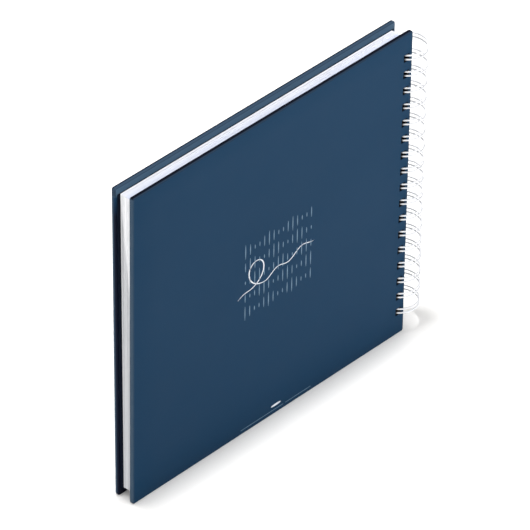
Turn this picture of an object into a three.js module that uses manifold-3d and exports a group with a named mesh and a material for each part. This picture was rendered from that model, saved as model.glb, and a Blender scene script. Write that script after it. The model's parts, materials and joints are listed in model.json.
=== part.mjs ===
// A hard-cover pilot logbook bound with a closed twin-loop wire, standing on its tail edge.
// Units are millimetres. +Z runs up the spine, the fore edge is at -X, the back cover faces -Y.
import * as THREE from "three";
import { mergeVertices } from "three/addons/utils/BufferGeometryUtils.js";
import Module from "manifold-3d";

const wasm = await Module();
wasm.setup();

// Covers
const coverWidth = 170;
const coverHeight = 160;
const boardThickness = 1.75;
const wrapThickness = 0.2;
const linerThickness = 0.15;
const glueGap = 0.05;
const turnInWidth = 15;
const linerHeadInset = 3.2;
const linerSideInset = 1.2;
const coverCornerRadius = 1;
const cornerSegments = 4;

// Leaves
const leafBundleCount = 16;
const leafBundleThickness = 0.32;
const leafBundleGap = 0.08;
const leafHeadInset = 3.4;
const leafForeEdgeInset = 2.9;
const leafEdgeMargin = 3.1;

// Twin-loop wire
const loopCount = 17;
const loopPitch = 25.4 / 3;
const wireDiameter = 0.9;
const wireSides = 6;
const loopRadius = 9.2;
const pairSpacing = 2.2;
const wireClearance = 0.1;
const baseBendRadius = 1;
const tipGap = 0.35;
const ringStep = 30;
const tipSteps = 4;
const bendSteps = 2;

// Punched holes, square, with the wire pair's width and room to turn in
const holeClearance = 0.45;
const coverHoleMargin = 4.2;
const holeSize = pairSpacing + wireDiameter + 2 * holeClearance;

// Cross-section, measured from the centre of the wire rings
const coverThickness = boardThickness + 2 * wrapThickness + linerThickness + 3 * glueGap;
const wireBedThickness = wireDiameter + 2 * wireClearance;
const stackThickness = leafBundleCount * (leafBundleThickness + leafBundleGap);
const bookThickness = 2 * coverThickness + wireBedThickness + stackThickness + leafBundleGap;
const backInnerY = -bookThickness / 2 + coverThickness;
const stackStartY = backInnerY + wireBedThickness + leafBundleGap;

// The middle of the arc that a wire ring makes between two depths
const ringX = (y) => -Math.sqrt(loopRadius ** 2 - y ** 2);
const meanRingX = (y0, y1) => (ringX(y0) + ringX(y1)) / 2;
const coverHoleX = meanRingX(bookThickness / 2, -backInnerY);
const leafHoleX = meanRingX(stackStartY + stackThickness, 0);
const coverSpineX = coverHoleX + coverHoleMargin;
const coverForeX = coverSpineX - coverWidth;
const leafSpineX = leafHoleX + leafEdgeMargin;
const leafForeX = coverForeX + leafForeEdgeInset;
const ringOuterX = loopRadius + wireDiameter / 2;
const middleX = (coverForeX + ringOuterX) / 2;
const firstLoopZ = (coverHeight - (loopCount - 1) * loopPitch) / 2;

const materials = {
  cover: new THREE.MeshStandardMaterial({ color: 0x25405e, roughness: 0.42, metalness: 0 }),
  liner: new THREE.MeshStandardMaterial({ color: 0x0f1a2c, roughness: 0.7, metalness: 0 }),
  board: new THREE.MeshStandardMaterial({ color: 0x57524a, roughness: 0.95, metalness: 0 }),
  paper: new THREE.MeshStandardMaterial({ color: 0xf4f3ef, roughness: 0.9, metalness: 0 }),
  wire: new THREE.MeshStandardMaterial({ color: 0xf6f7f8, roughness: 0.3, metalness: 0.1 }),
};

function solidOf(geometry) {
  const bare = geometry.clone();
  bare.deleteAttribute("normal");
  bare.deleteAttribute("uv");
  const merged = mergeVertices(bare, 1e-4);
  return new wasm.Manifold(
    new wasm.Mesh({
      numProp: 3,
      vertProperties: new Float32Array(merged.attributes.position.array),
      triVerts: new Uint32Array(merged.index.array),
    }),
  );
}

function geometryOf(solid) {
  const { vertProperties, triVerts } = solid.getMesh();
  const geometry = new THREE.BufferGeometry();
  geometry.setAttribute("position", new THREE.BufferAttribute(vertProperties, 3));
  geometry.setIndex(new THREE.BufferAttribute(triVerts, 1));
  const flat = geometry.toNonIndexed();
  flat.computeVertexNormals();
  return flat;
}

// An outline drawn in x and z, with the corners rounded by radius
function outline(x0, x1, z0, z1, radius) {
  const shape = new THREE.Shape();
  shape.moveTo(x0 + radius, z0);
  shape.lineTo(x1 - radius, z0);
  if (radius) shape.absarc(x1 - radius, z0 + radius, radius, -Math.PI / 2, 0, false);
  shape.lineTo(x1, z1 - radius);
  if (radius) shape.absarc(x1 - radius, z1 - radius, radius, 0, Math.PI / 2, false);
  shape.lineTo(x0 + radius, z1);
  if (radius) shape.absarc(x0 + radius, z1 - radius, radius, Math.PI / 2, Math.PI, false);
  shape.lineTo(x0, z0 + radius);
  if (radius) shape.absarc(x0 + radius, z0 + radius, radius, Math.PI, 1.5 * Math.PI, false);
  return shape;
}

// A row of square punched holes up the spine, centred on x
function punch(shape, x) {
  for (let i = 0; i < loopCount; i += 1) {
    const z = firstLoopZ + i * loopPitch;
    const hole = new THREE.Path();
    hole.moveTo(x - holeSize / 2, z - holeSize / 2);
    hole.lineTo(x - holeSize / 2, z + holeSize / 2);
    hole.lineTo(x + holeSize / 2, z + holeSize / 2);
    hole.lineTo(x + holeSize / 2, z - holeSize / 2);
    hole.closePath();
    shape.holes.push(hole);
  }
  return shape;
}

// A flat sheet of the outline, standing upright, from depth y0 to depth y1
function sheet(shape, y0, y1) {
  const geometry = new THREE.ExtrudeGeometry(shape, {
    depth: y1 - y0,
    bevelEnabled: false,
    curveSegments: cornerSegments,
  });
  geometry.rotateX(Math.PI / 2);
  geometry.translate(0, y1, 0);
  return geometry;
}

// The outline of a cover, drawn in by inset all round
function coverOutline(inset, radius) {
  return outline(
    coverForeX + inset,
    coverSpineX - inset,
    inset,
    coverHeight - inset,
    radius,
  );
}

function mesh(name, geometry, material) {
  const made = new THREE.Mesh(geometry, material);
  made.name = name;
  return made;
}

// Depths of a cover's layers from its outer face, y growing towards the leaves
const boardStart = wrapThickness + glueGap;
const boardEnd = boardStart + boardThickness;
const turnInStart = boardEnd + glueGap;
const turnInEnd = turnInStart + wrapThickness;
const linerStart = turnInEnd + glueGap;

// The greyboard stiffener inside a cover
function boardGeometry() {
  const shape = coverOutline(boardStart, coverCornerRadius - boardStart);
  return sheet(punch(shape, coverHoleX), boardStart, boardEnd);
}

// The printed and laminated sheet, folded over the board's four edges and turned in
function wrapGeometry() {
  const full = punch(coverOutline(0, coverCornerRadius), coverHoleX);
  const cavity = coverOutline(wrapThickness, coverCornerRadius - wrapThickness);
  const window = coverOutline(turnInWidth, 0);
  return geometryOf(
    solidOf(sheet(full, 0, turnInEnd))
      .subtract(solidOf(sheet(cavity, wrapThickness, turnInStart)))
      .subtract(solidOf(sheet(window, boardEnd, turnInEnd + wrapThickness))),
  );
}

// The end sheet pasted over the turn-ins
function linerGeometry() {
  const shape = outline(
    coverForeX + linerSideInset,
    coverSpineX - linerSideInset,
    linerHeadInset,
    coverHeight - linerHeadInset,
    0,
  );
  return sheet(punch(shape, coverHoleX), linerStart, linerStart + linerThickness);
}

// A cover is laid out with its outer face at y = 0 and its inner face towards +Y
function cover(side) {
  const group = new THREE.Group();
  group.add(mesh(`${side}_cover_board`, boardGeometry(), materials.board));
  group.add(mesh(`${side}_cover_wrap`, wrapGeometry(), materials.cover));
  group.add(mesh(`${side}_cover_liner`, linerGeometry(), materials.liner));
  return group;
}

function backCover() {
  const group = cover("back");
  group.position.y = -bookThickness / 2;
  return group;
}

// The same layers mirrored, so that its inner face looks at the leaves from the other side
function frontCover() {
  const group = cover("front");
  group.scale.y = -1;
  group.position.y = bookThickness / 2;
  return group;
}

// Leaves between the covers, in thin bundles numbered from the front cover
function leafBundles() {
  const group = new THREE.Group();
  const shape = punch(
    outline(leafForeX, leafSpineX, leafHeadInset, coverHeight - leafHeadInset, 0),
    leafHoleX,
  );
  for (let i = 0; i < leafBundleCount; i += 1) {
    const fromBack = leafBundleCount - 1 - i;
    const y0 = stackStartY + fromBack * (leafBundleThickness + leafBundleGap);
    const name = `leaf_bundle_${String(i + 1).padStart(2, "0")}`;
    group.add(mesh(name, sheet(shape, y0, y0 + leafBundleThickness), materials.paper));
  }
  return group;
}

// A point on the cylinder that the wire is rolled round
function onCylinder(degrees, z) {
  const angle = THREE.MathUtils.degToRad(degrees);
  return new THREE.Vector3(loopRadius * Math.cos(angle), loopRadius * Math.sin(angle), z);
}

const degreesPerMm = 180 / (Math.PI * loopRadius);
const baseY = backInnerY + wireBedThickness / 2;
const baseAngle = 180 + THREE.MathUtils.radToDeg(Math.asin(-baseY / loopRadius));
const tipAngle = baseAngle + 360 - (wireDiameter + tipGap) * degreesPerMm;

// The quarter bend between a base run and a ring: side -1 enters the pair, +1 leaves it
function baseBend(pairZ, side) {
  const points = [];
  for (let i = 0; i <= bendSteps; i += 1) {
    const turn = (i / bendSteps) * (Math.PI / 2);
    const along = baseBendRadius * (1 - Math.cos(turn));
    const out = baseBendRadius * (1 - Math.sin(turn));
    points.push(onCylinder(baseAngle + along * degreesPerMm, pairZ + side * (pairSpacing / 2 + out)));
  }
  return side < 0 ? points : points.reverse();
}

// The round of a ring at one height, from the base round to just short of the tip
function ringPoints(z) {
  const first = Math.ceil((baseAngle + 2 * baseBendRadius * degreesPerMm) / ringStep) * ringStep;
  const points = [];
  for (let angle = first; angle < tipAngle - pairSpacing * degreesPerMm; angle += ringStep) {
    points.push(onCylinder(angle, z));
  }
  return points;
}

// The hairpin turn at a pair's tip
function tipPoints(pairZ) {
  const points = [];
  const radius = pairSpacing / 2;
  for (let i = 0; i <= tipSteps; i += 1) {
    const turn = -Math.PI / 2 + (i / tipSteps) * Math.PI;
    const angle = tipAngle - (radius - radius * Math.cos(turn)) * degreesPerMm;
    points.push(onCylinder(angle, pairZ + radius * Math.sin(turn)));
  }
  return points;
}

// One continuous wire: for each pair a base bend, a ring out, the tip, a ring back, a base bend
function wirePoints() {
  const points = [];
  for (let i = 0; i < loopCount; i += 1) {
    const z = firstLoopZ + i * loopPitch;
    if (i > 0) points.push(...baseBend(z, -1));
    points.push(...ringPoints(z - pairSpacing / 2));
    points.push(...tipPoints(z));
    points.push(...ringPoints(z + pairSpacing / 2).reverse());
    if (i < loopCount - 1) points.push(...baseBend(z, 1));
  }
  return points;
}

function twinLoopWire() {
  const points = wirePoints();
  const path = new THREE.CatmullRomCurve3(points);
  path.getUtoTmapping = (u) => u; // sections stand at the path's own points
  const section = new THREE.Shape();
  for (let i = 0; i < wireSides; i += 1) {
    const angle = (i / wireSides) * 2 * Math.PI;
    const x = (wireDiameter / 2) * Math.cos(angle);
    const y = (wireDiameter / 2) * Math.sin(angle);
    if (i === 0) section.moveTo(x, y);
    else section.lineTo(x, y);
  }
  const geometry = new THREE.ExtrudeGeometry(section, {
    steps: points.length - 1,
    bevelEnabled: false,
    extrudePath: path,
  });
  return mesh("twin_loop_wire", geometry, materials.wire);
}

const logbook = new THREE.Group();
logbook.add(backCover(), frontCover(), leafBundles(), twinLoopWire());
logbook.position.x = -middleX;

export default logbook;
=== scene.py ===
"""The looks of a hard-cover pilot logbook on a twin-loop wire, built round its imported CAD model."""

import json
import math
import random

import bmesh
import bpy
from mathutils import Matrix, Vector


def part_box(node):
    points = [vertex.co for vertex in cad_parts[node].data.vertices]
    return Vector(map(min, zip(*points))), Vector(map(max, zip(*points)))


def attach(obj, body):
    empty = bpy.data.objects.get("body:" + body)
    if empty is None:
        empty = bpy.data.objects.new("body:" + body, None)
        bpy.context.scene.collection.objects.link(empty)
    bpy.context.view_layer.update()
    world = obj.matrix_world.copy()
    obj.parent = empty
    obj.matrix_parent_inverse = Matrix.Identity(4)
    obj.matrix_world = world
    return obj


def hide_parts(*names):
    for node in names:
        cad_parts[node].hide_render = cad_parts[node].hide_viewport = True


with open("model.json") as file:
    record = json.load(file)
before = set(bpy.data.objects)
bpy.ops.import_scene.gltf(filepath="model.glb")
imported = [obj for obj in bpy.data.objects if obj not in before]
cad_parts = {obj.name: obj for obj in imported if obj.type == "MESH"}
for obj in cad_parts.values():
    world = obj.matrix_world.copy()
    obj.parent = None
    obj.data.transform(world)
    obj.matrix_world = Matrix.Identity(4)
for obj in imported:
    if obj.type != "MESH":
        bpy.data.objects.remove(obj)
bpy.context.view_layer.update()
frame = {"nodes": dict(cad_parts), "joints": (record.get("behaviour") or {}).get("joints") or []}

MM = 0.001
RANDOM_SEED = 7

# Binding
LOOPS = 17
LOOP_PITCH = 25.4 / 3 * MM
WIRE_RADIUS = 0.36 * MM
LOOP_RADIUS = 9.05 * MM
PAIR_SPACING = 2.05 * MM
HOLE_SIZE = 3.8 * MM
COVER_HOLE_MARGIN = 3.7 * MM
COVER_HOLE_WIDTH = 3.5 * MM
BOARD_HOLE_WIDTH = 2.42 * MM
BOARD_HOLE_MARGIN = 4.09 * MM
LEAF_HOLE_MARGIN = 3.1 * MM

# Covers
FILM_THICKNESS = 0.2 * MM
TURN_IN = 15 * MM
COVER_CORNER = 1.0 * MM
COVER_EDGE = 0.5 * MM
COVER_COLUMNS = 6
PINCH = 1.7 * MM  # the front cover's fore-tail corner bends this far towards the leaves

# Leaves
LEAVES_PER_BUNDLE = 3
LEAF_THICKNESS = 0.1 * MM
LEAF_COLUMNS = 12
LEAF_REST_GAP = 0.05 * MM
BOUND_STRIP = 9 * MM
SPREAD_LENGTH = 60 * MM
LEAF_SLIP_ACROSS = (-0.3, 0.06)  # millimetres, towards the fore edge and the spine
LEAF_SLIP_UP = (-0.16, 0.16)  # millimetres

# Wire
WIRE_SIDES = 12
WIRE_BEND = 1.0 * MM  # radius of the bends between one loop and the next
TIP_ROOM = 1.25 * MM  # from a loop's tip to the wire's base line
LOOP_LEAN = 0.25 * MM
RING_STEPS = 72
BEND_STEPS = 6
TIP_STEPS = 10

# Ornament
INK_DEPTH = 0.03 * MM
BAR_ROWS, BAR_ROW_PITCH = 5, 8.1 * MM
BAR_COLUMNS, BAR_COLUMN_PITCH = 15, 2.9 * MM

# Stage
CAMERA_AZIMUTH, CAMERA_ELEVATION, CAMERA_ROLL = -47.221, 36.837, -0.924  # degrees
CAMERA_DISTANCE = 2.464
CAMERA_SLIDE_RIGHT, CAMERA_SLIDE_DOWN = -0.00349, 0.00433
CAMERA_LENS, CAMERA_SENSOR = 393.7, 36  # millimetres
WORLD_STRENGTH = 0.66
FLOOR_RADIUS = 6
FLOOR_COLOUR = (0.93, 0.922, 0.908, 1)
SOFTBOXES = (  # name, place, size, power
    ("top", (-0.05, 0.085, 1.7), 0.24, 24),
    ("front", (0.8, -1.0, 0.65), 0.5, 6),
    ("fore_edge", (-1.5, -0.1, 0.35), 0.5, 9),
)

BACK = "back_cover"
BUNDLES = sorted(name for name in frame["nodes"] if name.startswith("leaf_bundle_"))
AXIS = Vector(next(j for j in frame["joints"] if j["name"] == "front_cover_turn")["pos_m"])
COVER_LO, COVER_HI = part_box("back_cover_wrap")
COVER_MIDDLE = (COVER_LO + COVER_HI) / 2


# ---------------------------------------------------------------- materials


class Nodes:
    """A short way to write one material's node tree."""

    def __init__(self, name):
        self.material = bpy.data.materials.new(name)
        self.material.use_nodes = True
        self.tree = self.material.node_tree
        self.shader = next(n for n in self.tree.nodes if n.type == "BSDF_PRINCIPLED")
        self.coordinates = self.add("ShaderNodeTexCoord").outputs["Object"]

    def add(self, kind, **settings):
        node = self.tree.nodes.new(kind)
        for key, value in settings.items():
            setattr(node, key, value)
        return node

    def link(self, source, target):
        self.tree.links.new(source, target)

    def set(self, **values):
        for key, value in values.items():
            self.shader.inputs[key.replace("_", " ")].default_value = value

    def noise(self, scale, detail=3.0, roughness=0.5, stretch=(1, 1, 1)):
        mapping = self.add("ShaderNodeMapping")
        mapping.inputs["Scale"].default_value = stretch
        self.link(self.coordinates, mapping.inputs["Vector"])
        node = self.add("ShaderNodeTexNoise")
        node.inputs["Scale"].default_value = scale
        node.inputs["Detail"].default_value = detail
        node.inputs["Roughness"].default_value = roughness
        self.link(mapping.outputs["Vector"], node.inputs["Vector"])
        return node.outputs["Fac"]

    def math(self, operation, a, b=0.0):
        node = self.add("ShaderNodeMath", operation=operation)
        for socket, value in zip(node.inputs, (a, b)):
            if isinstance(value, (int, float)):
                socket.default_value = value
            else:
                self.link(value, socket)
        return node.outputs[0]

    def ramp(self, factor, *stops):
        node = self.add("ShaderNodeValToRGB")
        elements = node.color_ramp.elements
        while len(elements) < len(stops):
            elements.new(1.0)
        for element, (position, colour) in zip(elements, stops):
            element.position = position
            element.color = (*colour, 1.0)
        self.link(factor, node.inputs["Fac"])
        return node.outputs["Color"]

    def mix(self, factor, a, b):
        """Mixes two colours; a Mix node's colour sockets are inputs 6 and 7 and output 2."""
        node = self.add("ShaderNodeMix", data_type="RGBA")
        self.link(factor, node.inputs["Factor"])
        for socket, value in ((node.inputs[6], a), (node.inputs[7], b)):
            if isinstance(value, tuple):
                socket.default_value = (*value, 1.0)
            else:
                self.link(value, socket)
        return node.outputs[2]

    def range(self, value, low, high, start=0.0, end=1.0):
        node = self.add("ShaderNodeMapRange")
        self.link(value, node.inputs["Value"])
        for name, number in (
            ("From Min", start),
            ("From Max", end),
            ("To Min", low),
            ("To Max", high),
        ):
            node.inputs[name].default_value = number
        return node.outputs["Result"]

    def axis(self, letter):
        node = self.add("ShaderNodeSeparateXYZ")
        self.link(self.coordinates, node.inputs[0])
        return node.outputs[letter]

    def colour(self, output):
        self.link(output, self.shader.inputs["Base Color"])

    def roughness(self, output):
        self.link(output, self.shader.inputs["Roughness"])

    def bump(self, height, strength, distance):
        node = self.add("ShaderNodeBump")
        node.inputs["Strength"].default_value = strength
        node.inputs["Distance"].default_value = distance
        self.link(height, node.inputs["Height"])
        self.link(node.outputs["Normal"], self.shader.inputs["Normal"])


def near_edges(nodes, letter, low, high, width):
    """1 at low and at high along one axis, falling to 0 at width inside them."""
    along = nodes.axis(letter)
    nearest = nodes.math(
        "MINIMUM",
        nodes.math("SUBTRACT", along, low),
        nodes.math("SUBTRACT", high, along),
    )
    return nodes.range(nearest, 1.0, 0.0, 0.0, width)


def film_material():
    """Navy laminate, toned by place: painted light brighter towards the head and spine, sides lighter
    from rubbed wear and a painted highlight, painted shade on the head edges and the front cover's
    inner rim, painted light inside its head, and a painted highlight along the back cover's head
    arris.
    """
    nodes = Nodes("navy_laminate")
    nodes.set(Specular_IOR_Level=0.05)
    across, depth, height = (nodes.axis(letter) for letter in "XYZ")
    mottle = nodes.math("MULTIPLY", nodes.math("SUBTRACT", nodes.noise(14, 4), 0.5), 0.5)
    # Painted light: the body tone is brighter towards the head and the spine edge, with a random
    # mottle over it.
    upward = nodes.range(height, 0.0, 0.6, COVER_LO.z, COVER_HI.z)
    spineward = nodes.range(across, 0.0, 0.4, COVER_LO.x, COVER_HI.x)
    body = nodes.ramp(
        nodes.math("ADD", nodes.math("ADD", upward, spineward), mottle),
        (0.0, (0.0028, 0.0275, 0.0665)),
        (1.0, (0.0068, 0.0390, 0.0890)),
    )
    front_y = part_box("front_cover_wrap")[1].y
    in_front = nodes.math("GREATER_THAN", depth, 0.0)
    behind = nodes.math("SUBTRACT", 1.0, in_front)
    front_arris = nodes.range(depth, 0.0, 1.0, front_y - 1.1 * MM, front_y - 0.6 * MM)
    back_arris = nodes.range(depth, 1.0, 0.0, COVER_LO.y + 0.3 * MM, COVER_LO.y + 0.7 * MM)
    unbent = nodes.math("ADD", depth, nodes.range(height, PINCH, 0.0, 0.0, COVER_HI.z))
    front_outer = nodes.range(unbent, 0.0, 1.0, front_y - 1.5 * MM, front_y - 0.9 * MM)
    front_inner = nodes.math("MULTIPLY", in_front, nodes.math("SUBTRACT", 1.0, front_outer))

    # Lighter side faces: partly rubbed wear (the noise), partly a painted highlight; on the front
    # cover only its outer part is lightened.
    side = near_edges(nodes, "X", COVER_LO.x, COVER_HI.x, 0.9 * MM)
    rubbed_and_lit = nodes.math("MULTIPLY", side, nodes.range(nodes.noise(420, 4), 0.55, 1.0))
    rubbed_and_lit = nodes.math("MULTIPLY", rubbed_and_lit, nodes.math("MAXIMUM", behind, front_outer))
    colour = nodes.mix(rubbed_and_lit, body, (0.040, 0.064, 0.092))
    fore = nodes.range(across, 1.0, 0.0, COVER_LO.x + 1.3 * MM, COVER_LO.x + 1.8 * MM)
    fore_side = nodes.range(across, 1.0, 0.0, COVER_LO.x + 0.2 * MM, COVER_LO.x + 0.8 * MM)
    tail = nodes.range(height, 1.0, 0.0, COVER_LO.z + 4 * MM, COVER_LO.z + 5 * MM)
    below = nodes.range(height, 1.0, 0.0, COVER_HI.z - 14 * MM, COVER_HI.z - 3 * MM)
    fore = nodes.math("MULTIPLY", fore, below)
    head = nodes.range(height, 0.0, 1.0, COVER_HI.z - 0.6 * MM, COVER_HI.z - 0.25 * MM)
    turned = nodes.range(height, 0.0, 1.0, COVER_HI.z - 4.6 * MM, COVER_HI.z - 3.4 * MM)
    # Painted light: the front cover's inner face just below the head is a lighter mid-blue, as if lit
    # from the page tops; its head edge there gets a darker painted shade.
    lit = nodes.math("MULTIPLY", in_front, nodes.math("SUBTRACT", 1.0, front_arris))
    strip = nodes.mix(head, (0.062, 0.118, 0.185), (0.026, 0.048, 0.080))
    colour = nodes.mix(nodes.math("MULTIPLY", turned, lit), colour, strip)
    # Painted shade: the front cover's fore side just below the head is darker, between the lit strip
    # and the shade below it.
    corner = nodes.math("MULTIPLY", fore_side, nodes.math("SUBTRACT", 1.0, head))
    corner = nodes.math("MULTIPLY", corner, nodes.math("MULTIPLY", turned, in_front))
    colour = nodes.mix(corner, colour, (0.018, 0.036, 0.062))
    shaded = nodes.math("MULTIPLY", nodes.math("MAXIMUM", fore, tail), front_inner)
    colour = nodes.mix(shaded, colour, (0.0010, 0.0035, 0.0130))
    # Painted shade: the head edges are near-black, on the back cover and on the outer part of the
    # front cover.
    painted_head_shade = nodes.math("ADD", nodes.math("MULTIPLY", in_front, front_arris), behind)
    colour = nodes.mix(nodes.math("MULTIPLY", head, painted_head_shade), colour, (0.0008, 0.0020, 0.0075))
    # Painted highlight: a lighter line along the back cover's outer head arris.
    arris_highlight = nodes.math("MULTIPLY", nodes.math("MULTIPLY", head, back_arris), 0.8)
    nodes.colour(nodes.mix(arris_highlight, colour, (0.016, 0.036, 0.066)))
    nodes.roughness(nodes.range(nodes.noise(60, 5), 0.38, 0.52))
    peel = nodes.math("MULTIPLY", nodes.noise(2600, 2), 0.4)
    nodes.bump(nodes.math("ADD", peel, nodes.noise(700, 4)), 0.12, 0.02 * MM)
    return nodes.material


def liner_material():
    # Navy end paper, made near-black as painted shade for the inner faces of the covers.
    nodes = Nodes("navy_end_paper")
    nodes.set(Specular_IOR_Level=0.1)
    nodes.colour(
        nodes.ramp(
            nodes.noise(240, 6, 0.7),
            (0.3, (0.0020, 0.0050, 0.0150)),
            (0.7, (0.0034, 0.0080, 0.0220)),
        )
    )
    nodes.roughness(nodes.range(nodes.noise(900, 3), 0.7, 0.85))
    nodes.bump(nodes.noise(1800, 5, 0.7, (1, 1, 0.5)), 0.3, 0.03 * MM)
    return nodes.material


def board_material():
    # Greyboard made near-black: painted shade for the hole walls, where the board shows.
    nodes = Nodes("greyboard")
    nodes.set(Specular_IOR_Level=0.1)
    nodes.colour(
        nodes.ramp(
            nodes.noise(900, 8, 0.75),
            (0.25, (0.006, 0.006, 0.008)),
            (0.5, (0.012, 0.012, 0.014)),
            (0.8, (0.026, 0.026, 0.028)),
        )
    )
    nodes.roughness(nodes.range(nodes.noise(300, 3), 0.88, 0.98))
    nodes.bump(nodes.noise(1600, 6, 0.7, (1, 3, 1)), 0.6, 0.06 * MM)
    return nodes.material


def paper_material():
    """White pages, with a streaked head in painted shade and a painted shadow on the fore edge."""
    nodes = Nodes("white_paper")
    nodes.set(Specular_IOR_Level=0.1)
    lo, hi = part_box(BUNDLES[-1])[0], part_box(BUNDLES[0])[1]
    page = nodes.ramp(
        nodes.noise(180, 6, 0.65),
        (0.3, (0.88, 0.885, 0.90)),
        (0.7, (0.93, 0.935, 0.95)),
    )
    fibres = nodes.noise(900, 3, 0.6, (0.02, 1, 1))
    streaks = nodes.math("MULTIPLY", nodes.math("SUBTRACT", fibres, 0.5), 0.9)
    # Painted shade: the page heads are greyer and bluer towards the back cover, with streaks running
    # along them.
    through = nodes.math("ADD", nodes.range(nodes.axis("Y"), 0.0, 1.0, lo.y, hi.y), streaks)
    page_head_shade = nodes.ramp(through, (0.0, (0.56, 0.62, 0.78)), (0.75, (0.80, 0.81, 0.86)))
    head = nodes.range(nodes.axis("Z"), 0.0, 1.0, hi.z - 0.3 * MM, hi.z - 0.15 * MM)
    # Painted shadow: grey on the fore edge, a wedge next to the front cover near the head and all of
    # it lower down.
    fore = nodes.range(nodes.axis("X"), 1.0, 0.0, lo.x + 0.05 * MM, lo.x + 0.35 * MM)
    reach = nodes.range(nodes.axis("Z"), lo.y, hi.y, hi.z - 60 * MM, hi.z)
    painted_shadow_wedge = nodes.range(
        nodes.math("SUBTRACT", nodes.axis("Y"), reach), 0.0, 0.85, -0.4 * MM, 0.4 * MM
    )
    page = nodes.mix(nodes.math("MULTIPLY", fore, painted_shadow_wedge), page, (0.60, 0.61, 0.63))
    nodes.colour(nodes.mix(head, page, page_head_shade))
    nodes.roughness(nodes.range(nodes.noise(700, 3), 0.82, 0.92))
    nodes.bump(nodes.noise(2200, 6, 0.7, (1, 1, 0.45)), 0.25, 0.02 * MM)
    return nodes.material


def wire_material():
    """White coating, with patchy grey painted shade at the loops' outermost rim and near-black
    painted shade inside the back cover's holes and between the covers.
    """
    nodes = Nodes("white_coated_wire")
    nodes.set(Specular_IOR_Level=0.5, Coat_Weight=0.25, Coat_Roughness=0.18)
    coating = nodes.ramp(
        nodes.noise(260, 4),
        (0.3, (0.80, 0.81, 0.84)),
        (0.7, (0.87, 0.88, 0.91)),
    )
    rim = AXIS.x + LOOP_RADIUS
    # Painted shade: patchy grey at the loops' outermost rim.
    outermost = nodes.range(nodes.axis("X"), 0.0, 1.0, rim - 2.2 * MM, rim - 0.2 * MM)
    rim_shade = nodes.math("MULTIPLY", outermost, nodes.range(nodes.noise(330, 4), 0.35, 0.85))
    rim_shade = nodes.mix(rim_shade, coating, (0.27, 0.28, 0.30))
    # Painted shade: near-black where the wire runs inside the back cover's holes and between the
    # covers.
    depth = nodes.axis("Y")
    entered = nodes.range(depth, 0.0, 1.0, COVER_LO.y + 0.2 * MM, COVER_LO.y + 0.8 * MM)
    left = nodes.range(depth, 1.0, 0.0, COVER_HI.y - 0.2 * MM, COVER_HI.y)
    bound = nodes.math("LESS_THAN", nodes.axis("X"), AXIS.x)
    in_hole = nodes.math("MULTIPLY", nodes.math("MULTIPLY", entered, left), bound)
    nodes.colour(nodes.mix(in_hole, rim_shade, (0.010, 0.014, 0.022)))
    nodes.roughness(nodes.range(nodes.noise(500, 3), 0.28, 0.42))
    nodes.bump(nodes.noise(3200, 3), 0.2, 0.02 * MM)
    return nodes.material


def ink_material(name, low, high):
    nodes = Nodes(name)
    nodes.set(Specular_IOR_Level=0.2)
    nodes.colour(nodes.ramp(nodes.noise(520, 5, 0.7), (0.35, low), (0.65, high)))
    nodes.roughness(nodes.range(nodes.noise(400, 3), 0.42, 0.56))
    return nodes.material


# ---------------------------------------------------------------- mesh helpers


def new_object(name, bm, material, sharp_degrees=None):
    mesh = bpy.data.meshes.new(name)
    bm.to_mesh(mesh)
    bm.free()
    mesh.materials.append(material)
    if sharp_degrees:
        smooth(mesh, sharp_degrees)
    made = bpy.data.objects.new(name, mesh)
    bpy.context.scene.collection.objects.link(made)
    return made


def smooth(mesh, sharp_degrees):
    mesh.shade_smooth()
    mesh.set_sharp_from_angle(angle=math.radians(sharp_degrees))


def dress(piece, body, slot, *nodes):
    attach(piece, body)
    if nodes:
        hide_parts(*nodes)


def apply_modifiers(obj):
    graph = bpy.context.evaluated_depsgraph_get()
    mesh = bpy.data.meshes.new_from_object(obj.evaluated_get(graph))
    obj.modifiers.clear()
    obj.data = mesh


def facing(bm, corners, normal):
    face = bm.faces.new(corners)
    face.normal_update()
    if face.normal.dot(normal) < 0:
        face.normal_flip()


def loop_heights():
    first = COVER_MIDDLE.z - (LOOPS - 1) * LOOP_PITCH / 2
    return [first + i * LOOP_PITCH for i in range(LOOPS)]


def punched_grid(lo, hi, margin, width, columns):
    """Grid lines of an upright sheet, with the cells to leave out for its row of holes."""
    hole_x = hi.x - margin
    run = hole_x - width / 2 - lo.x
    xs = [lo.x + run * math.sin(i / columns * math.pi / 2) for i in range(columns + 1)]
    xs += [hole_x + width / 2, hi.x]
    tails = [z - HOLE_SIZE / 2 for z in loop_heights()]
    zs = sorted([lo.z, hi.z, *tails, *(z + HOLE_SIZE for z in tails)])
    return xs, zs, {(columns, zs.index(z)) for z in tails}


def add_sheet(bm, grid, place, thickness):
    """A closed thin sheet: place(x, z) is the middle of its thickness there."""
    xs, zs, holes = grid
    half = Vector((0, thickness / 2, 0))
    low, high = (
        [[bm.verts.new(place(x, z) + side) for z in zs] for x in xs] for side in (-half, half)
    )
    kept = {
        (i, j) for i in range(len(xs) - 1) for j in range(len(zs) - 1) if (i, j) not in holes
    }
    for i, j in sorted(kept):
        bm.faces.new((low[i][j], low[i + 1][j], low[i + 1][j + 1], low[i][j + 1]))
        bm.faces.new((high[i][j], high[i][j + 1], high[i + 1][j + 1], high[i + 1][j]))
        if (i - 1, j) not in kept:
            bm.faces.new((low[i][j], low[i][j + 1], high[i][j + 1], high[i][j]))
        if (i + 1, j) not in kept:
            bm.faces.new((low[i + 1][j + 1], low[i + 1][j], high[i + 1][j], high[i + 1][j + 1]))
        if (i, j - 1) not in kept:
            bm.faces.new((low[i + 1][j], low[i][j], high[i][j], high[i + 1][j]))
        if (i, j + 1) not in kept:
            bm.faces.new((low[i][j + 1], low[i + 1][j + 1], high[i + 1][j + 1], high[i][j + 1]))


# ---------------------------------------------------------------- covers


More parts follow.
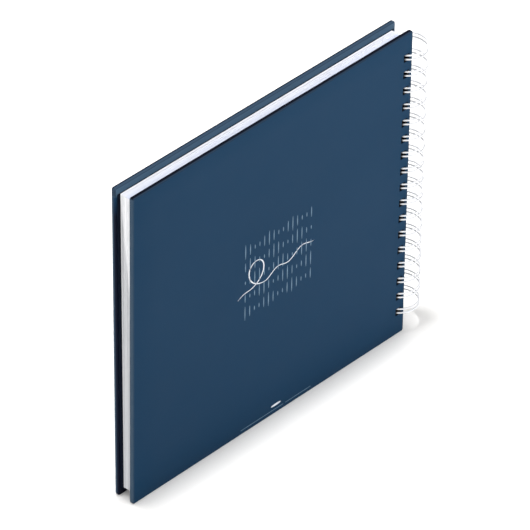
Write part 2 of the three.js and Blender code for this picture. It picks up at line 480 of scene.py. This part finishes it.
def front_bend(x, z):
    """How far the front cover has bent out of flat at a point, towards the leaves."""
    fore = (COVER_HI.x - x) / (COVER_HI.x - COVER_LO.x)
    tail = 1 - z / COVER_HI.z
    return -PINCH * max(0.0, fore) * max(0.0, tail)


def cover_film(side, outward, material):
    """The laminated sheet folded round the board: a thin open shell with turn-ins and holes."""
    node = f"{side}_cover_wrap"
    lo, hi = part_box(node)
    outer_y, inner_y = (lo.y, hi.y) if outward < 0 else (hi.y, lo.y)
    hole_x = hi.x - COVER_HOLE_MARGIN
    window_x = (lo.x + TURN_IN, hi.x - TURN_IN)
    inner_columns = [
        window_x[0] + (window_x[1] - window_x[0]) * i / COVER_COLUMNS
        for i in range(COVER_COLUMNS + 1)
    ]
    half_hole = COVER_HOLE_WIDTH / 2
    xs = [lo.x, *inner_columns, hole_x - half_hole, hole_x + half_hole, hi.x]
    hole_column = len(xs) - 3
    window_columns = range(1, 1 + COVER_COLUMNS)
    tails = [z - HOLE_SIZE / 2 for z in loop_heights()]
    window_z = (lo.z + TURN_IN, hi.z - TURN_IN)
    zs = sorted([lo.z, hi.z, *window_z, *tails, *(z + HOLE_SIZE for z in tails)])
    hole_rows = {zs.index(z) for z in tails}
    window_rows = range(zs.index(window_z[0]), zs.index(window_z[1]))
    last_x, last_z = len(xs) - 1, len(zs) - 1

    bm = bmesh.new()
    outer, inner = (
        [[bm.verts.new((x, y, z)) for z in zs] for x in xs] for y in (outer_y, inner_y)
    )
    for i in range(last_x):
        for j in range(last_z):
            if i == hole_column and j in hole_rows:
                continue
            in_window = i in window_columns and j in window_rows
            for grid, way in ((outer, outward), (inner, -outward)):
                if grid is inner and in_window:
                    continue
                corners = (grid[i][j], grid[i + 1][j], grid[i + 1][j + 1], grid[i][j + 1])
                facing(bm, corners, Vector((0, way, 0)))
    for i in range(last_x):
        for j, way in ((0, -1), (last_z, 1)):
            corners = (outer[i][j], outer[i + 1][j], inner[i + 1][j], inner[i][j])
            facing(bm, corners, Vector((0, 0, way)))
    for j in range(last_z):
        for i, way in ((0, -1), (last_x, 1)):
            corners = (outer[i][j], outer[i][j + 1], inner[i][j + 1], inner[i][j])
            facing(bm, corners, Vector((way, 0, 0)))

    def is_side(face):
        return abs(face.normal.y) < 0.5

    def paired(edge):
        return len(edge.link_faces) == 2

    bm.normal_update()
    posts = [
        e
        for e in bm.edges
        if paired(e)
        and all(is_side(f) for f in e.link_faces)
        and abs(e.link_faces[0].normal.dot(e.link_faces[1].normal)) < 0.5
    ]
    bmesh.ops.bevel(
        bm, geom=posts, offset=COVER_CORNER, segments=6, profile=0.5, affect="EDGES"
    )
    bm.normal_update()
    rims = [e for e in bm.edges if paired(e) and len({is_side(f) for f in e.link_faces}) == 2]
    bmesh.ops.bevel(bm, geom=rims, offset=COVER_EDGE, segments=4, profile=0.5, affect="EDGES")
    film = new_object(f"{side}_cover_film", bm, material)
    thickness = film.modifiers.new("thickness", "SOLIDIFY")
    thickness.thickness = FILM_THICKNESS
    thickness.offset = -1
    apply_modifiers(film)
    if outward > 0:
        for vertex in film.data.vertices:
            vertex.co.y += front_bend(vertex.co.x, vertex.co.z)
    smooth(film.data, 32)
    dress(film, f"{side}_cover", "cover_laminate", node)


def cover_layer(side, layer, slot, material):
    """A board or an end sheet, bent with its cover."""
    node = f"{side}_cover_{layer}"
    lo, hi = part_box(node)
    middle_y = (lo.y + hi.y) / 2
    margin = BOARD_HOLE_MARGIN - (COVER_HI.x - hi.x)

    def place(x, z):
        return Vector((x, middle_y + (front_bend(x, z) if middle_y > 0 else 0), z))

    bm = bmesh.new()
    grid = punched_grid(lo, hi, margin, BOARD_HOLE_WIDTH, COVER_COLUMNS)
    add_sheet(bm, grid, place, hi.y - lo.y)
    made = new_object(f"{side}_cover_{slot}", bm, material)
    dress(made, f"{side}_cover", slot, node)


# ---------------------------------------------------------------- leaves


def eased(t):
    t = min(1.0, max(0.0, t))
    return t * t * (3 - 2 * t)


def leaf_bundles(material):
    """Each bundle's leaves, spread at the fore edge to fill the room between the covers."""
    rng = random.Random(RANDOM_SEED)
    back_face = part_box("back_cover_liner")[1].y + LEAF_REST_GAP
    front_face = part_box("front_cover_liner")[0].y - LEAF_REST_GAP
    leaf_count = LEAVES_PER_BUNDLE * len(BUNDLES)
    for number, node in enumerate(BUNDLES):
        lo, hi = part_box(node)
        grid = punched_grid(lo, hi, LEAF_HOLE_MARGIN, HOLE_SIZE, LEAF_COLUMNS)
        bound_pitch = (hi.y - lo.y) / LEAVES_PER_BUNDLE
        bm = bmesh.new()
        for k in range(LEAVES_PER_BUNDLE):
            share = (LEAVES_PER_BUNDLE * (len(BUNDLES) - 1 - number) + k + 0.5) / leaf_count
            bound_y = lo.y + (k + 0.5) * bound_pitch
            slip = Vector((rng.uniform(*LEAF_SLIP_ACROSS), 0, rng.uniform(*LEAF_SLIP_UP))) * MM

            def place(x, z, share=share, bound_y=bound_y, slip=slip):
                room = front_face + front_bend(x, z) - back_face
                free_y = back_face + share * room
                away = eased((hi.x - BOUND_STRIP - x) / SPREAD_LENGTH)
                return Vector((x, bound_y + (free_y - bound_y) * away, z)) + slip

            add_sheet(bm, grid, place, LEAF_THICKNESS)
        leaves = new_object(node.replace("leaf_bundle", "leaves"), bm, material, 32)
        dress(leaves, node, "leaf_paper", node)


# ---------------------------------------------------------------- wire


def wire_path():
    """The middle line of the closed twin-loop wire, pair by pair from the tail."""
    radius = LOOP_RADIUS
    base_y = (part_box("back_cover_liner")[1].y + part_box(BUNDLES[-1])[0].y) / 2
    base = math.pi + math.asin(-base_y / radius)
    bend = WIRE_BEND
    tip = base + 2 * math.pi - TIP_ROOM / radius
    half = PAIR_SPACING / 2
    rng = random.Random(RANDOM_SEED + 1)

    def point(angle, z):
        return Vector(
            (AXIS.x + radius * math.cos(angle), AXIS.y + radius * math.sin(angle), z)
        )

    def bend_points(z, side):
        made = []
        for i in range(BEND_STEPS + 1):
            turn = i / BEND_STEPS * math.pi / 2
            angle = base + bend * (1 - math.cos(turn)) / radius
            made.append(point(angle, z + side * (half + bend * (1 - math.sin(turn)))))
        return made if side < 0 else made[::-1]

    def ring_points(z, start, end, lean):
        return [
            point(
                start + (end - start) * i / RING_STEPS,
                z + lean * math.sin(math.pi * i / RING_STEPS),
            )
            for i in range(RING_STEPS + 1)
        ]

    points = []
    start, end = base + bend / radius, tip - half / radius
    for i, z in enumerate(loop_heights()):
        lean = rng.uniform(-1, 1) * LOOP_LEAN
        if i > 0:
            points += bend_points(z, -1)
        points += ring_points(z - half, start, end, lean)[1:]
        for k in range(1, TIP_STEPS):
            turn = -math.pi / 2 + k / TIP_STEPS * math.pi
            points.append(
                point(end + half * math.cos(turn) / radius, z + half * math.sin(turn))
            )
        points += ring_points(z + half, start, end, lean)[::-1][:-1]
        if i < LOOPS - 1:
            points += bend_points(z, 1)
    return points


def binding_wire(material):
    """A round wire along its path, with its section carried round without twisting."""
    points = wire_path()
    count = len(points)
    tangents = [
        (points[min(count - 1, i + 1)] - points[max(0, i - 1)]).normalized()
        for i in range(count)
    ]
    normal = tangents[0].orthogonal().normalized()
    bm = bmesh.new()
    rings = []
    for i, centre in enumerate(points):
        if i > 0:
            normal = tangents[i - 1].rotation_difference(tangents[i]) @ normal
            normal = (normal - tangents[i] * normal.dot(tangents[i])).normalized()
        side = tangents[i].cross(normal)
        turns = [2 * math.pi * k / WIRE_SIDES for k in range(WIRE_SIDES)]
        rings.append(
            [
                bm.verts.new(centre + (normal * math.cos(t) + side * math.sin(t)) * WIRE_RADIUS)
                for t in turns
            ]
        )
    for a, b in zip(rings, rings[1:]):
        for k in range(WIRE_SIDES):
            n = (k + 1) % WIRE_SIDES
            bm.faces.new((a[k], a[n], b[n], b[k]))
    bm.faces.new(rings[0][::-1])
    bm.faces.new(rings[-1])
    wire = new_object("binding_wire", bm, material, 50)
    dress(wire, BACK, "coated_wire", "twin_loop_wire")


# ---------------------------------------------------------------- cover ornament


def add_stroke(bm, points, widths):
    """A flat inked stroke on the back cover along (x, z) points, with its width at each."""
    face_y = COVER_LO.y - INK_DEPTH
    back_y = COVER_LO.y + INK_DEPTH
    rings = []
    for i, (x, z) in enumerate(points):
        x0, z0 = points[max(0, i - 1)]
        x1, z1 = points[min(len(points) - 1, i + 1)]
        along = Vector((x1 - x0, z1 - z0)).normalized()
        dx, dz = -along.y * widths[i] / 2, along.x * widths[i] / 2
        rings.append(
            [
                bm.verts.new((x + dx, face_y, z + dz)),
                bm.verts.new((x - dx, face_y, z - dz)),
                bm.verts.new((x - dx, back_y, z - dz)),
                bm.verts.new((x + dx, back_y, z + dz)),
            ]
        )
    for a, b in zip(rings, rings[1:]):
        for k in range(4):
            n = (k + 1) % 4
            bm.faces.new((a[k], a[n], b[n], b[k]))
    bm.faces.new(rings[0][::-1])
    bm.faces.new(rings[-1])


def lens(length_steps, widest, thinnest=0.08 * MM):
    return [
        thinnest + (widest - thinnest) * math.sin(math.pi * i / length_steps) ** 0.7
        for i in range(length_steps + 1)
    ]


def straight(x0, z0, x1, z1, steps):
    return [(x0 + (x1 - x0) * i / steps, z0 + (z1 - z0) * i / steps) for i in range(steps + 1)]


def ornament(pale, white):
    """Five rows of plain bars in a wave, one looping line across them, and a foot mark."""
    middle_x, middle_z = COVER_MIDDLE.x + 3 * MM, COVER_MIDDLE.z + 1 * MM
    bars = bmesh.new()
    for row in range(BAR_ROWS):
        z = middle_z + (row - (BAR_ROWS - 1) / 2) * BAR_ROW_PITCH
        for column in range(BAR_COLUMNS):
            x = middle_x + (column - (BAR_COLUMNS - 1) / 2) * BAR_COLUMN_PITCH
            swell = 0.5 + 0.5 * math.cos(2 * math.pi * (column / 5 + row / 4))
            reach = (0.9 + 2.9 * swell) * MM
            add_stroke(bars, straight(x, z - reach, x, z + reach, 10), lens(10, 0.5 * MM))
    made = new_object("cover_bars", bars, pale)
    dress(made, BACK, "cover_laminate")

    path = bmesh.new()
    loop_x, loop_z = middle_x - 13.5 * MM, middle_z + 1.5 * MM
    loop_reach, loop_rise, loop_pace = 7 * MM, 6.8 * MM, 1.7 * MM
    lead_steps, loop_steps, wave_steps = 16, 72, 96
    line = []
    for i in range(loop_steps + 1):
        turn = math.pi * (2 * i / loop_steps - 1)
        line.append(
            (
                loop_x + loop_pace * turn - loop_reach * math.sin(turn),
                loop_z + loop_rise * math.cos(turn),
            )
        )
    first_x, first_z = line[0]
    for i in range(1, lead_steps + 1):
        t = i / lead_steps
        line.insert(0, (first_x - 6 * MM * t, first_z - 1.8 * MM * t * t))
    start_x, start_z = line[-1]
    for i in range(1, wave_steps + 1):
        t = i / wave_steps
        swing = 1.5 * MM * (1 - math.cos(2 * math.pi * 2 * t)) * (1 - 0.4 * t)
        line.append(
            (
                start_x + (middle_x + 22 * MM - start_x) * t,
                start_z + 5.5 * MM * eased(t) + swing,
            )
        )
    widths = []
    for i in range(len(line)):
        x0, z0 = line[max(0, i - 1)]
        x1, z1 = line[min(len(line) - 1, i + 1)]
        steep = abs(z1 - z0) / (math.hypot(x1 - x0, z1 - z0) + 1e-9)
        taper = min(1.0, i / 12, (len(line) - 1 - i) / 12)
        widths.append((0.08 + taper * (0.26 + 0.3 * steep)) * MM)
    add_stroke(path, line, widths)
    made = new_object("cover_flight_line", path, white)
    dress(made, BACK, "cover_laminate")

    foot = bmesh.new()
    foot_z = COVER_LO.z + 4.6 * MM
    add_stroke(
        foot,
        straight(middle_x - 2.9 * MM, foot_z, middle_x + 2.9 * MM, foot_z, 12),
        lens(12, 1.15 * MM, 0.5 * MM),
    )
    made = new_object("cover_foot_mark", foot, white)
    dress(made, BACK, "cover_laminate")

    rule = bmesh.new()
    rule_z = COVER_LO.z + 2.3 * MM
    for x0, x1 in ((-22, 4.6), (6, 22)):
        ends = straight(middle_x + x0 * MM, rule_z, middle_x + x1 * MM, rule_z, 4)
        add_stroke(rule, ends, [0.28 * MM] * 5)
    made = new_object("cover_foot_rule", rule, pale)
    dress(made, BACK, "cover_laminate")


# ---------------------------------------------------------------- stage


def softbox(name, place, size, power):
    data = bpy.data.lights.new(name, "AREA")
    data.shape = "DISK"
    data.size = size
    data.energy = power
    made = bpy.data.objects.new(name, data)
    made.location = place
    aim = Vector((0, 0, COVER_MIDDLE.z)) - Vector(place)
    made.rotation_euler = aim.to_track_quat("-Z", "Y").to_euler()
    bpy.context.scene.collection.objects.link(made)


def studio():
    scene = bpy.context.scene
    scene.view_settings.view_transform = "Standard"
    world = bpy.data.worlds.new("studio")
    world.use_nodes = True
    background = next(n for n in world.node_tree.nodes if n.type == "BACKGROUND")
    background.inputs["Color"].default_value = (1, 1, 1, 1)
    background.inputs["Strength"].default_value = WORLD_STRENGTH
    scene.world = world
    bm = bmesh.new()
    bmesh.ops.create_circle(bm, cap_ends=True, radius=FLOOR_RADIUS, segments=64)
    nodes = Nodes("pale_floor")
    nodes.set(Specular_IOR_Level=0.0, Roughness=0.9, Base_Color=FLOOR_COLOUR)
    new_object("floor", bm, nodes.material)
    for light in SOFTBOXES:
        softbox(*light)


def camera():
    """Stands off the fore edge and the back cover, looking down on them."""
    azimuth, elevation = math.radians(CAMERA_AZIMUTH), math.radians(CAMERA_ELEVATION)
    roll = math.radians(CAMERA_ROLL)
    back = Vector(
        (
            math.sin(azimuth) * math.cos(elevation),
            -math.cos(azimuth) * math.cos(elevation),
            math.sin(elevation),
        )
    )
    right = Vector((math.cos(azimuth), math.sin(azimuth), 0))
    up = back.cross(right)
    turned_right = right * math.cos(roll) - up * math.sin(roll)
    turned_up = right * math.sin(roll) + up * math.cos(roll)
    data = bpy.data.cameras.new("camera")
    data.lens = CAMERA_LENS
    data.sensor_width = CAMERA_SENSOR
    data.clip_end = 50
    made = bpy.data.objects.new("camera", data)
    middle = Vector((0, 0, COVER_MIDDLE.z))
    place = middle + back * CAMERA_DISTANCE
    place += turned_right * CAMERA_SLIDE_RIGHT - turned_up * CAMERA_SLIDE_DOWN
    axes = Matrix((turned_right, turned_up, back)).transposed()
    made.matrix_world = Matrix.Translation(place) @ axes.to_4x4()
    bpy.context.scene.collection.objects.link(made)
    bpy.context.scene.camera = made


camera()
studio()
film = film_material()
board = board_material()
liner = liner_material()
for side, outward in (("back", -1), ("front", 1)):
    cover_film(side, outward, film)
    cover_layer(side, "board", "greyboard", board)
    cover_layer(side, "liner", "end_paper", liner)
leaf_bundles(paper_material())
binding_wire(wire_material())
ornament(
    ink_material("pale_blue_ink", (0.105, 0.185, 0.265), (0.150, 0.245, 0.335)),
    ink_material("white_ink", (0.62, 0.66, 0.72), (0.80, 0.83, 0.88)),
)
